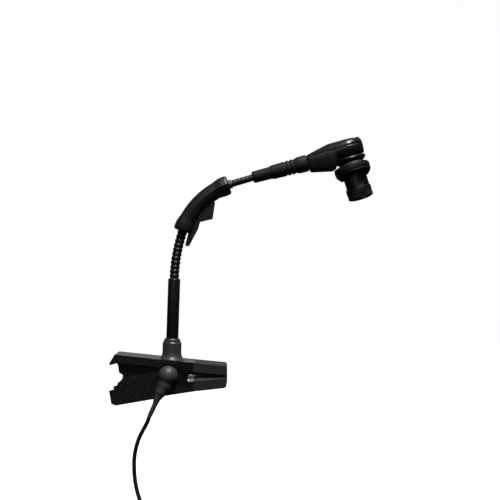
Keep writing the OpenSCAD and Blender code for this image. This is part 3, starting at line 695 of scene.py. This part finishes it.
def bridge_ring(angle, size, count=72):
    """The channel's section at one angle round the bend; its sides carry a fine ridge."""
    a = math.radians(angle)
    out = Vector((-math.cos(a), 0, math.sin(a)))
    ring = []
    for k in range(count):
        t = 2 * math.pi * k / count
        x, y = BRIDGE_R * math.cos(t), BRIDGE_R * math.sin(t)
        y += math.copysign(RIDGE_HEIGHT * math.exp(-((x - RIDGE_AT) / RIDGE_WIDTH) ** 2), y)
        ring.append(BEND_CENTRE + out * (BEND_R + x * size) * MM + AXIS_Y * y * size * MM)
    return ring


def bridge_size(way):
    """Relative size of the section: rounded over at each end, with a slight collar behind it."""
    swell = COLLAR_SWELL * smooth(min(1, max(0, (COLLAR_REACH - way) / COLLAR_SLOPE)))
    edge = math.sqrt(max(0.0, 1 - (1 - min(1, way / END_RIM)) ** 2))
    return (1 + swell) * (END_SIZE + (1 - END_SIZE) * edge)


def bridge_rings():
    """The channel's sections, from its lower end to its upper end."""
    length = BEND_R * math.radians(BRIDGE_TO - BRIDGE_FROM)
    for i in range(BRIDGE_STEPS + 1):
        share = i / BRIDGE_STEPS
        way = length * share
        angle = BRIDGE_FROM + (BRIDGE_TO - BRIDGE_FROM) * share
        yield bridge_ring(angle, bridge_size(min(way, length - way)))


finish_piece(loft("bridge_channel", list(bridge_rings())), "bridge", "brace_channel")
softened("bridge_keeper", ["brace_keeper"], "bridge", 0.3)

# ---- Grip: a rubber sleeve with a step, three grooves and a collar ----

GRIP_LEN = 28.6
GROOVES = 3
GRIP_DIR = joint_axis("head_roll")
GRIP_AT = joint_at("head_roll") - GRIP_DIR * GRIP_LEN * MM


def groove(at, outer, depth=0.4, width=0.9):
    """Profile points of one rounded groove that starts at a distance along the grip."""
    return [(outer, at - 0.12), (outer - 0.1, at), (outer - depth, at + 0.22),
            (outer - depth, at + width - 0.22), (outer - 0.1, at + width), (outer, at + width + 0.12)]


grip_profile = [(2.0, 0.05), (2.5, 0.15), (2.8, 0.5), (2.95, 1.1), (3.0, 2.5), (3.1, 9.3), (3.22, 9.7),
                (3.46, 10.2), (3.54, 10.7), (3.7, 16.4)]
for k in range(GROOVES):
    grip_profile += groove(17 + 2.2 * k, 3.74 + 0.03 * k)
grip_profile += [(3.84, 22.9), (4.05, 23.5), (4.18, 24.1), (4.2, 25), (4.2, 27.9), (4.1, 28.35),
                 (3.8, GRIP_LEN), (2.62, GRIP_LEN), (2.62, 26)]
grip = lathe("grip_rubber", grip_profile, GRIP_AT, GRIP_DIR, 64)
finish_piece(grip, "grip", "grip_sleeve")

# ---- Arm: housing and lid as stacked outlines of one plan ----

SEAM_V = 2.9
ROUND_U, ROUND_R = 21.0, 8.0
STRAIGHT_END = 19.4
BACK_U, BACK_W = 0.3, 4.2
TIP_STEPS = 15
SEAM_GAP = 0.06
KEEL_END = 14.4
RECESS_R = 9.45
RECESS_TOP, RECESS_BOTTOM = -2.38, -9


def between(x, table):
    """A value read from a table of (x, value) stations, on straight lines between them."""
    if x <= table[0][0]:
        return table[0][1]
    for (x0, y0), (x1, y1) in zip(table, table[1:]):
        if x <= x1:
            return y0 + (y1 - y0) * (x - x0) / (x1 - x0)
    return table[-1][1]


def plan(inset):
    """One side of the plan, from the arm's back to its front: (u, half width) in millimetres."""
    widest = ROUND_R * 0.98
    stations = [BACK_U, 1, 2.5, 4.5, 6.5, 8.5, 10.2, 11, 12, 13, 13.7, KEEL_END - 0.1, KEEL_END + 0.1,
                15.2, 16.4, 17.8, STRAIGHT_END]
    slope = (widest - BACK_W) / (STRAIGHT_END - BACK_U)
    half = [(u, BACK_W + slope * (u - BACK_U) - inset) for u in stations]
    first = math.acos((STRAIGHT_END - ROUND_U) / ROUND_R)
    for k in range(1, TIP_STEPS):
        t = first * (1 - k / TIP_STEPS)
        tip = inset * (0.25 + 0.75 * math.sin(t) ** 2)
        half.append((ROUND_U + (ROUND_R - tip) * math.cos(t), (ROUND_R - inset) * math.sin(t)))
    return half


def stacked(name, levels):
    """A closed shell from levels of (height function of u, inset); both ends are bridged across."""
    rings = []
    for height, inset in levels:
        side = plan(inset)
        ring = [on_arm(u, height(u), -w) for u, w in side]
        rings.append(ring + [on_arm(u, height(u), w) for u, w in reversed(side)])
    n = len(rings[0])
    verts = [v for ring in rings for v in ring]
    faces = []
    for i in range(len(rings) - 1):
        a, b = i * n, (i + 1) * n
        faces += [(a + k, a + (k + 1) % n, b + (k + 1) % n, b + k) for k in range(n)]
    for base in (0, (len(rings) - 1) * n):
        faces += [(base + k, base + k + 1, base + n - 2 - k, base + n - 1 - k) for k in range(n // 2 - 1)]
    return mesh_piece(name, verts, faces)


def level(top, bottom, share):
    """A height function between two others."""
    return lambda u: top(u) + (bottom(u) - top(u)) * share


LID_LINE = [(0.3, 3.75), (1.5, 4.2), (10.2, 6.05), (12, 6.35), (24.4, 6.3), (25.2, 5.95), (26.2, 6.15),
            (27.4, 6.1), (28.4, 5.8), (29, 5.3)]
KEEL_LINE = [(0.3, -4.7), (1, -5.1), (10.2, -7.0), (11.6, -7.15), (14.2, -7.1), (KEEL_END, -2.2)]
LID_STEPS = [(0, 0.3), (0.04, 0.12), (0.12, 0.1), (0.3, 0.3), (0.5, 0.75), (0.68, 1.45), (0.82, 2.3),
             (0.93, 3.2), (1, 4.1)]
HOUSING_STEPS = [(0, 0.35), (0.04, 0.12), (0.1, 0), (0.3, 0), (0.5, 0.15), (0.7, 0.4), (0.85, 0.8),
                 (0.95, 1.3), (1, 2.0)]


def lid_top(u):
    return between(u, LID_LINE)


def lid_seam(u):
    return SEAM_V + SEAM_GAP


def housing_seam(u):
    return SEAM_V - SEAM_GAP


def keel(u):
    return between(u, KEEL_LINE)


finish_piece(stacked("arm_cover", [(level(lid_seam, lid_top, f), inset) for f, inset in LID_STEPS]),
             "head", "arm_lid")
housing = stacked("arm_shell", [(level(housing_seam, keel, f), inset) for f, inset in HOUSING_STEPS])
recess_profile = [(RECESS_R, RECESS_TOP), (RECESS_R, RECESS_BOTTOM)]
hollow(housing, lathe("recess", recess_profile, on_arm(TURRET_U, 0), ARM_UP, 96))
finish_piece(housing, "head", "arm_housing")

# ---- Turret and capsule ----

SOCKET_R, SOCKET_V = 2.96, -6
socket_section = [(math.sqrt(SOCKET_R ** 2 - (v - SOCKET_V) ** 2), v)
                  for v in (-6.5, -6, -5.5, -5, -4.5, -4, -3.6)]
cup_section = [(0.9, 0.28), (2.58, 0.28), (2.58, -2.5), (7.1, -2.5), (7.8, -2.7), (8.2, -3.1), (8.3, -3.6),
               (8.15, -4.1), (7.75, -4.6), (7.15, -5.1), (6.5, -5.6), (5.6, -6.1), (4.3, -6.5)]
cup = washer("swivel_body", cup_section + socket_section + [(0.9, -3.4)], on_arm(TURRET_U, 0), ARM_UP)
finish_piece(cup, "turret", "swivel_cup")

RING_WAIST = -3.5
RING_THIN, RING_RAISE = 0.55, 0.5
RING_LIP_R = 7
ring_section = [(5.4, -2.1), (5.9, -1.45), (6.4, -1.15), (7.0, -0.95), (7.6, -0.75), (8.2, -0.75),
                (8.7, -1.1), (9.05, -1.9), (9.15, -2.7), (9.1, -3.2), (8.9, RING_WAIST), (9.1, -3.8),
                (9.0, -4.6), (8.6, -5.5), (8.1, -6.2), (7.4, -7), (6.7, -7.6), (6.1, -7.7), (5.6, -7.2),
                (5.45, -6.2)]


def open_window(ring):
    """Thins the ring below its waist and raises its lip above, most at the near and the far side."""
    for vertex in ring.data.vertices:
        away = vertex.co - BALL
        low = away.dot(CAPSULE_UP) - RING_WAIST * MM
        out = math.hypot(away.dot(CAPSULE_X), away.y)
        facing = 1 - (away.dot(CAPSULE_X) / out) ** 2
        if low < 0:
            vertex.co -= CAPSULE_UP * low * RING_THIN * facing
        else:
            lip = min(1, max(0, out / MM - RING_LIP_R))
            vertex.co += CAPSULE_UP * low * RING_RAISE * facing * lip


ring = washer("shock_mount", rounded(ring_section, 0.25, 3), BALL, CAPSULE_UP, 72)
open_window(ring)
finish_piece(ring, "capsule", "shock_ring")
softened("capsule_frame", ["capsule_cage"], "capsule", 0.28, 3)
softened("capsule_body", ["capsule_can"], "capsule", 0.18, 2)

GRILLE_R = 6.15
GRILLE_TOP, GRILLE_EDGE, GRILLE_END = -15.05, -17.5, -18.55
WIRE_R, RIM_R = 0.13, 0.2
WIRE_PITCH, WIRES_EACH_SIDE = 0.62, 9
SIDE_WIRES, SIDE_LEAN = 40, math.radians(22)


def grille_face(r):
    """Height of the grille's domed face at a distance from the capsule's axis."""
    return GRILLE_END + (GRILLE_EDGE - GRILLE_END) * (r / GRILLE_R) ** 3


def face_wire(across, turned, phase):
    """One wire of the woven front, over and under those that cross it."""
    half = math.sqrt(max(0.0, (GRILLE_R - 0.05) ** 2 - across ** 2))
    steps = max(4, round(half * 2 / WIRE_PITCH * 2))
    points = []
    for k in range(steps + 1):
        along = -half + 2 * half * k / steps
        lift = 0.1 * math.sin(math.pi * (along / WIRE_PITCH + phase))
        x, y = (across, along) if turned else (along, across)
        points.append(on_capsule(x, y, grille_face(math.hypot(x, y)) + lift))
    return points


def side_wire(start, way):
    """One leaning wire of the grille's side."""
    points = []
    for k in range(7):
        t = k / 6
        a = start + way * SIDE_LEAN * t
        r = GRILLE_R + 0.07 * math.sin(math.pi * (3 * t + (way > 0)))
        z = GRILLE_TOP + (GRILLE_EDGE - GRILLE_TOP) * t
        points.append(on_capsule(r * math.cos(a), r * math.sin(a), z))
    return points


def rim_wire(z):
    turns = [2 * math.pi * k / 72 for k in range(73)]
    return [on_capsule(GRILLE_R * math.cos(t), GRILLE_R * math.sin(t), z) for t in turns]


def grille_wires():
    """Woven front and leaning side wires, with a rim at both ends of the side."""
    runs = []
    for turned in (False, True):
        for i in range(-WIRES_EACH_SIDE, WIRES_EACH_SIDE + 1):
            runs.append((face_wire(i * WIRE_PITCH, turned, i + turned), WIRE_R))
    for way in (-1, 1):
        for i in range(SIDE_WIRES):
            runs.append((side_wire(2 * math.pi * i / SIDE_WIRES, way), WIRE_R))
    runs += [(rim_wire(z), RIM_R) for z in (GRILLE_TOP, GRILLE_EDGE)]
    return runs


wires = [tube(f"wire_{i}", [tuple(q / MM for q in p) for p in points], r, 5)
         for i, (points, r) in enumerate(grille_wires())]
finish_piece(joined("mesh_grille", wires), "capsule", "front_grille")
liner_section = [(5.55, -15.1), (5.85, -15.1), (5.85, -17.2), (5.2, -17.7), (0.01, -18.1), (0.01, -17.7),
                 (5.0, -17.4), (5.55, -17)]
liner = washer("grille_foam", liner_section, BALL, CAPSULE_UP)
finish_piece(liner, "capsule", "grille_cloth")

# ---- Coil tie and plug ----

softened("coil_tie", ["cable_tie"], "clamp", 0.3)
softened("plug_relief", ["plug_boot"], "clamp", 0.25)
softened("plug_body", ["plug_shell"], "clamp", 0.3)
softened("plug_button", ["plug_latch"], "latch", 0.2)

# ---- Lights and stage ----


CENTRE = (0.03, 0, 0.05)
WORLD_COLOUR, WORLD_STRENGTH = (0.9, 0.92, 0.95, 1), 0.02
FLOOR_Z = -0.1585
BACKDROP = [(0.0001, 0), (1.0, 0), (2.2, 0), (2.8, 0.1), (3.2, 0.5), (3.35, 1.2), (3.3, 2.6), (2.4, 3.6),
            (0.001, 3.9)]
BACKDROP_COLOUR, BACKDROP_GLOW = (0.9, 0.9, 0.9, 1), 0.95


def area_light(name, at, aim, size, power, size_y=None):
    """A white rectangular lamp that faces a point."""
    data = bpy.data.lights.new(name, "AREA")
    data.shape = "RECTANGLE"
    data.size, data.size_y = size, size_y or size
    data.energy = power
    lamp = bpy.data.objects.new(name, data)
    lamp.location = Vector(at)
    lamp.rotation_euler = (Vector(aim) - Vector(at)).to_track_quat("-Z", "Y").to_euler()
    bpy.context.collection.objects.link(lamp)


area_light("key", (0.1, -0.3, 0.75), CENTRE, 0.2, 7.0)
area_light("fill", (-0.12, -0.7, 0.3), CENTRE, 0.25, 0.35)
area_light("back_panel", (0.03, 1.1, 0.4), (0.03, 0, 0.1), 1.6, 1.5, size_y=0.8)
area_light("top_soft", (0.12, 0.05, 0.85), CENTRE, 0.3, 2.2)

world = bpy.data.worlds.new("studio")
world.use_nodes = True
world.node_tree.nodes["Background"].inputs["Color"].default_value = WORLD_COLOUR
world.node_tree.nodes["Background"].inputs["Strength"].default_value = WORLD_STRENGTH
bpy.context.scene.world = world


def studio_backdrop():
    """A pale floor that curves up into a wall on every side, seen but giving no light of its own."""
    turns = [2 * math.pi * k / 64 for k in range(64)]
    rings = [[(r * math.cos(t), r * math.sin(t), FLOOR_Z + z) for t in turns] for r, z in BACKDROP]
    backdrop = loft("backdrop", rings)
    material, _, shader = new_nodes("pale_stage")
    shader.inputs["Base Color"].default_value = BACKDROP_COLOUR
    shader.inputs["Roughness"].default_value = 0.9
    shader.inputs["Emission Color"].default_value = (1, 1, 1, 1)
    shader.inputs["Emission Strength"].default_value = BACKDROP_GLOW
    backdrop.data.materials.append(material)
    backdrop.visible_diffuse = False
    backdrop.visible_glossy = False
    backdrop.visible_transmission = False
    backdrop.visible_shadow = False


studio_backdrop()
bpy.context.scene.view_settings.view_transform = "Standard"
